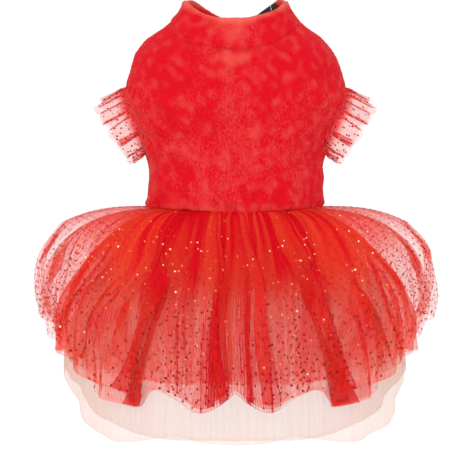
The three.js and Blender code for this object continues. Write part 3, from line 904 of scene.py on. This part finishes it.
def makeLayerGrid(layer):  # the cloth's points, its streaks and folds, and its length down
    random = np.random.default_rng(layer["seed"])
    columns, rows, seed = layer["columns"], layer["rows"], layer["seed"] + 40
    t = np.linspace(0, 1, 40)[:, None] + np.zeros((1, columns))
    u = (np.arange(columns) / columns * 360)[None, :] + 0 * t
    tube = onTube(u, 60, t * 90)
    degrees = u + layer["sway"] * t * softNoise(tube, 60, seed)
    outward = layer["sway"] * 0.9 * t * softNoise(tube, 38, seed + 1)
    folded = np.zeros_like(u)
    for waist, hem, start, end, width, strength in creaseRows(layer, random):
        x = lapAngles(u, waist + (hem - waist) * t, width)
        sideward = np.sin(np.radians(hem)) ** 6
        grown = smoothStep(start, start + 0.22, t) * (1 - smoothStep(end - 0.2, end, t))
        grown = grown * (1 - sideward * smoothStep(0.55, 0.9, t))
        overlap = grown * strength * (0.3 + 0.7 * smoothStep(0.3, 0.65, t))
        degrees = degrees - overlap * width * x * np.exp(-x * x)
        outward = outward - overlap * 0.95 * x * np.exp(-x * x / 2)
        folded = np.maximum(folded, grown * np.exp(-x * x * 1.5) * np.minimum(strength / 2.2, 1))
    gathers = softNoise(onTube(u, 75, t * 5), 3.6, seed + 2)
    gathers = gathers * (0.3 + 0.35 * smoothStep(0.3, 0.05, t)) * (1 - 0.9 * smoothStep(0.2, 0.7, t))
    corner = np.exp(-np.abs(t - 0.36) / 0.06) * np.abs(np.sin(np.radians(u))) ** 5
    ripple = t * softNoise(tube * (1.25, 1.25, 0.3), 11, seed + 3)
    outward = outward + layer["corner"] * corner + layer["gather"] * gathers + layer["ripple"] * ripple
    point, out = layerSurface(layer, degrees, t)
    grown = layer["fold"] * t ** layer["foldGrowth"]
    wrapped = degrees % 360
    curl = layer["curl"] * smoothStep(0.82, 1, t) * np.sin(np.radians(degrees)) ** 2
    puff = skirt["puff"] * smoothStep(0, 0.025, t) * smoothStep(0.5, 0.1, t)
    outward = outward * smoothStep(0, 0.08, t) - curl + puff
    point = point + out * (grown * ridgeShare(wrapped, "depth") + outward)[..., None]
    point = point + onTube(degrees, 1, 0 * t) * (grown * ridgeShare(wrapped, "lean"))[..., None]
    tuck = point[:1] + (0, 0, skirt["tuck"])
    circle = onTube(u, 57.3, t)[..., :2]  # about 1 mm to a degree
    broad, fine = softNoise(circle, 2.6, seed + 4), softNoise(circle, 1.5, seed + 5)
    streaks = (1 - t) * broad + (0.3 + 0.7 * t) * fine
    point, lengths = evenRows(np.concatenate([tuck, point]), rows)
    pick = np.maximum(np.linspace(0, len(t), rows).astype(int) - 1, 0)  # the tuck takes the first row's
    return point, streaks[pick], folded[pick], float(lengths.mean())


def roundLength(grid):  # the way round each row of a cloth
    return np.linalg.norm(np.roll(grid, -1, 1) - grid, axis=2).sum(1)[:, None]


def makeLayer(name, node, layer, material, cover):
    grid, streaks, folded, length = makeLayerGrid(layer)
    rows, columns = grid.shape[:2]
    width = layer["cloth"]
    t = np.linspace(0, 1, rows)[:, None]
    angle = (np.arange(columns) / columns * 2 * np.pi)[None, :]
    around = roundLength(grid)
    streak = cover["streak"] * np.clip(streaks, -1.2, 1.2)
    gaps = (1 - layer["thread"]) ** (width / around * (1 + streak))
    for closed in (
        cover["fold"] * folded,
        cover["hem"] * smoothStep(0.975, 1.0, t),
        cover["waist"] * smoothStep(0.14, 0, t),
        layer["upper"] * smoothStep(0.6, 0.15, t),
        layer["flank"] * np.abs(np.sin(angle)) ** 3,
    ):
        gaps = gaps * (1 - closed)
    uv = ringUv(rows, columns, width * mm, length * mm)
    piece = clothObject(name, grid.reshape(-1, 3), ringFaces(rows, columns), uv)
    giveAttribute(piece, "cover", np.clip(1 - gaps, 0.02, 0.97))
    streaky = (0.3 + 0.3 * smoothStep(0.6, 0.2, t)) * np.clip(streaks, -1, 1.2)
    lap = folded + 0.25 * smoothStep(0.4, 0.05, t) + streaky + 0.2 * np.cos(2 * angle)
    giveAttribute(piece, "lap", np.clip(lap, -0.5, 1))
    piece.data.materials.append(material)
    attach(piece, "root")
    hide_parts(node)
    print(name, "made: cloth", round(length), "mm long, hem", round(float(around[-1, 0])), "mm round")
    return piece, grid, length


netCover = {"streak": 0.45, "fold": 0.3, "hem": 0.12, "waist": 0.6}
underCover = {"streak": 0.08, "fold": 0.05, "hem": 0.1, "waist": 0.3}
netSpots = {
    "seed": 71,
    "first": 9.0,
    "radius": 0.6,
    "growth": 0.75,  # how much larger the spots are near the hem
    "edge": 0.06,
    "height": 0.24,
    "tilt": 0.22,
    # the share of spots painted as glints
    "shine": 0.11,
}

for name, node, layer in (
    ("outerNet", "skirt_outer_net", outerNet),
    ("middleNet", "skirt_middle_net", middleNet),
    ("innerNet", "skirt_inner_net", innerNet),
):
    net, grid, length = makeLayer(name, node, layer, spottedNet, netCover)
    spots = []
    if layer["pitch"]:
        settings = {**netSpots, "pitch": layer["pitch"], "seed": netSpots["seed"] + layer["order"]}
        spots = [scatterSpots(name + "Spots", grid, layer["cloth"], length, settings)]

under, grid, length = makeLayer("underskirtNet", "underskirt", underNet, sheerNet, underCover)


sleeve = {
    "width": 31.0,
    "fold": 6.0,
    "droop": 30.0,
    "flare": 0.04,
    "clear": 0.6,
    "cloth": 230.0,
    "columns": 300,
    "rows": 26,
}
sleevePleats = {
    "at": [0, 34, 64, 96, 128, 160, 192, 226, 262, 296, 328, 360],
    "width": [0.9, 0.98, 0.86, 0.9, 0.78, 0.56, 0.46, 0.66, 0.86, 0.92, 0.9, 0.9],
    "depth": [0.7, 0.5, 1, 0.6, 1, 0.6, 0.8, 0.6, 1, 0.6, 0.8, 0.7],
}
sleeveCreases = {  # where the ruffle laps over itself: angles at its seam and hem, width and strength
    "root": [352, 22, 52, 80, 108, 140, 172, 210, 250, 290, 325],
    "hem": [350, 16, 49, 82, 112, 146, 176, 212, 250, 288, 322],
    "width": [5, 4, 6, 4, 6, 4, 5, 6, 6, 6, 6],
    "strength": [2.6, 2.2, 2.9, 2.0, 2.8, 2.2, 2.6, 2.2, 2.4, 2.2, 2.2],
}
sleeveCover = {"thread": 0.22, "streak": 0.25, "seam": 0.7, "lap": 0.35}
sleeveSpots = {
    **netSpots, "first": 5.0, "pitch": 7.0, "radius": 0.8, "growth": 0.0, "tilt": 0.15, "shine": 0.05,
}


def makeSleeve(name, node, side, seed):
    columns, rows = sleeve["columns"], sleeve["rows"]
    t = np.linspace(0, 1, rows)[:, None] + np.zeros((1, columns))
    u = (np.arange(columns) / columns * 360)[None, :] + 0 * t
    at = np.array(sleevePleats["at"], float)
    low = np.clip(np.searchsorted(at, u, side="right") - 1, 0, len(at) - 2)
    share = (u - at[low]) / (at[low + 1] - at[low])
    widths, depths = np.array(sleevePleats["width"]), np.array(sleevePleats["depth"])
    width = widths[low] + (widths[low + 1] - widths[low]) * share
    depth = 0.5 * np.cos(2 * np.pi * share) * np.where(share < 0.5, depths[low], depths[low + 1])
    tube = onTube(u, 26, t * 8)
    gathers = softNoise(tube, 6.0, seed)
    degrees = u + 3.0 * t * softNoise(tube, 22, seed + 1)
    grown = smoothStep(0, 0.35, t)
    lapped, lap = 0 * u, 0 * u
    for root, hem, wide, strength in zip(*sleeveCreases.values()):
        x = lapAngles(u, root + (hem - root) * t, wide)
        degrees = degrees - grown * strength * wide * x * np.exp(-x * x)
        lapped = lapped - grown * strength * 1.1 * x * np.exp(-x * x / 2)
        lap = np.maximum(lap, grown * np.exp(-2 * x * x))
    turn = np.radians(degrees)
    rootY = -(armhole["depth"] / 2 - sleeve["clear"]) * np.sin(turn)
    rootZ = armholeMiddle + (armhole["height"] / 2 - sleeve["clear"]) * np.cos(turn)
    droop = math.radians(sleeve["droop"])
    along = np.array([math.cos(droop), 0, -math.sin(droop)])
    away = np.stack([math.sin(droop) * np.cos(turn), -np.sin(turn), math.cos(droop) * np.cos(turn)], -1)
    notch = 1 - 0.14 * np.sin(np.pi * share) ** 6 + 0.05 * softNoise(tube, 14, seed + 2)
    length = sleeve["width"] * width * t * notch
    lift = sleeve["flare"] * length + sleeve["fold"] * depth * t + gathers * (0.3 + 0.1 * t) + lapped
    points = np.stack([bodySide(rootY, rootZ) - body["wall"] * 0.5, rootY, rootZ], -1)
    points = points + along * length[..., None] + away * lift[..., None]
    if side < 0:
        points[..., 0] *= -1
        points, gathers, lap = points[:, ::-1], gathers[:, ::-1], lap[:, ::-1]
    cloth = sleeve["cloth"]
    streak = sleeveCover["streak"] * gathers * (1 - 0.4 * t)
    seam = smoothStep(0.5, 0, t)
    gaps = (1 - sleeveCover["thread"]) ** (cloth / roundLength(points) * (1 + streak))
    gaps = gaps * (1 - sleeveCover["seam"] * seam) * (1 - sleeveCover["lap"] * lap)
    uv = ringUv(rows, columns, cloth * mm, sleeve["width"] * mm)
    piece = clothObject(name, points.reshape(-1, 3), ringFaces(rows, columns), uv)
    giveAttribute(piece, "cover", np.clip(1 - gaps, 0.02, 0.97))
    giveAttribute(piece, "lap", np.maximum(lap, 0.8 * seam))
    piece.data.materials.append(spottedNet)
    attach(piece, "root")
    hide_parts(node)
    settings = {**sleeveSpots, "seed": seed + 5}
    spots = scatterSpots(name + "Spots", points, cloth, sleeve["width"] * 0.85, settings)


makeSleeve("sleeveRight", "sleeve_ruffle_right", 1, 51)
makeSleeve("sleeveLeft", "sleeve_ruffle_left", -1, 51)
print("sleeves made")


studio = {  # in metres, but for the lens and the camera's angle
    "floor": -0.52,
    "lens": 300.0,
    "distance": 3.408,
    "elevation": 1.0,
    "middle": (-0.0003, 0.0, -0.1784),
}

bpy.ops.object.select_all(action="DESELECT")
bpy.ops.mesh.primitive_plane_add(size=2.4, location=(0, 0, studio["floor"]))
floor = bpy.context.active_object
floor.name = "floor"
floorMaterial, floorTree, floorShader = newMaterial("paleFloor")
floorTint = noiseNode(floorTree, objectPlace(floorTree), 3.0)
floorTint = mixColours(floorTree, floorTint, (0.9, 0.89, 0.88), (0.94, 0.935, 0.93))
floorTree.links.new(floorTint, floorShader.inputs["Base Color"])
setInputs(floorShader, {"Roughness": 0.8})
floor.data.materials.append(floorMaterial)

world = bpy.data.worlds.new("studioWhite")
bpy.context.scene.world = world
world.use_nodes = True
worldTree = world.node_tree
background = worldTree.nodes["Background"]
setInputs(background, {"Color": (1.0, 0.995, 0.99, 1)})
seen = worldTree.nodes.new("ShaderNodeLightPath").outputs["Is Camera Ray"]
strength = mathNode(worldTree, "ADD", mathNode(worldTree, "MULTIPLY", seen, 0.2), 0.86)
worldTree.links.new(strength, background.inputs["Strength"])

lights = {
    "key": {"place": (-1.1, -1.9, 1.3), "size": 1.3, "power": 22.0, "tint": (1.0, 0.97, 0.94)},
    "fill": {"place": (1.6, -1.7, 0.3), "size": 1.8, "power": 9.0, "tint": (1.0, 0.98, 0.97)},
}
for name, light in lights.items():
    lamp = bpy.data.lights.new(name, "AREA")
    lamp.size = light["size"]
    lamp.energy = light["power"]
    lamp.color = light["tint"]
    holder = bpy.data.objects.new(name, lamp)
    bpy.context.scene.collection.objects.link(holder)
    holder.location = light["place"]
    away = holder.location - Vector(studio["middle"])
    holder.rotation_euler = away.to_track_quat("Z", "Y").to_euler()

camera = bpy.data.objects.new("camera", bpy.data.cameras.new("camera"))
bpy.context.scene.collection.objects.link(camera)
camera.data.lens = studio["lens"]
camera.data.sensor_width = 36
camera.data.clip_end = 50
lift = math.radians(studio["elevation"])
back, up = studio["distance"] * math.cos(lift), studio["distance"] * math.sin(lift)
camera.location = (studio["middle"][0], -back, studio["middle"][2] + up)
camera.rotation_euler = (math.pi / 2 - lift, 0, 0)
bpy.context.scene.camera = camera
bpy.context.scene.view_settings.view_transform = "Standard"
bpy.context.scene.cycles.transparent_max_bounces = 64
print("studio made")
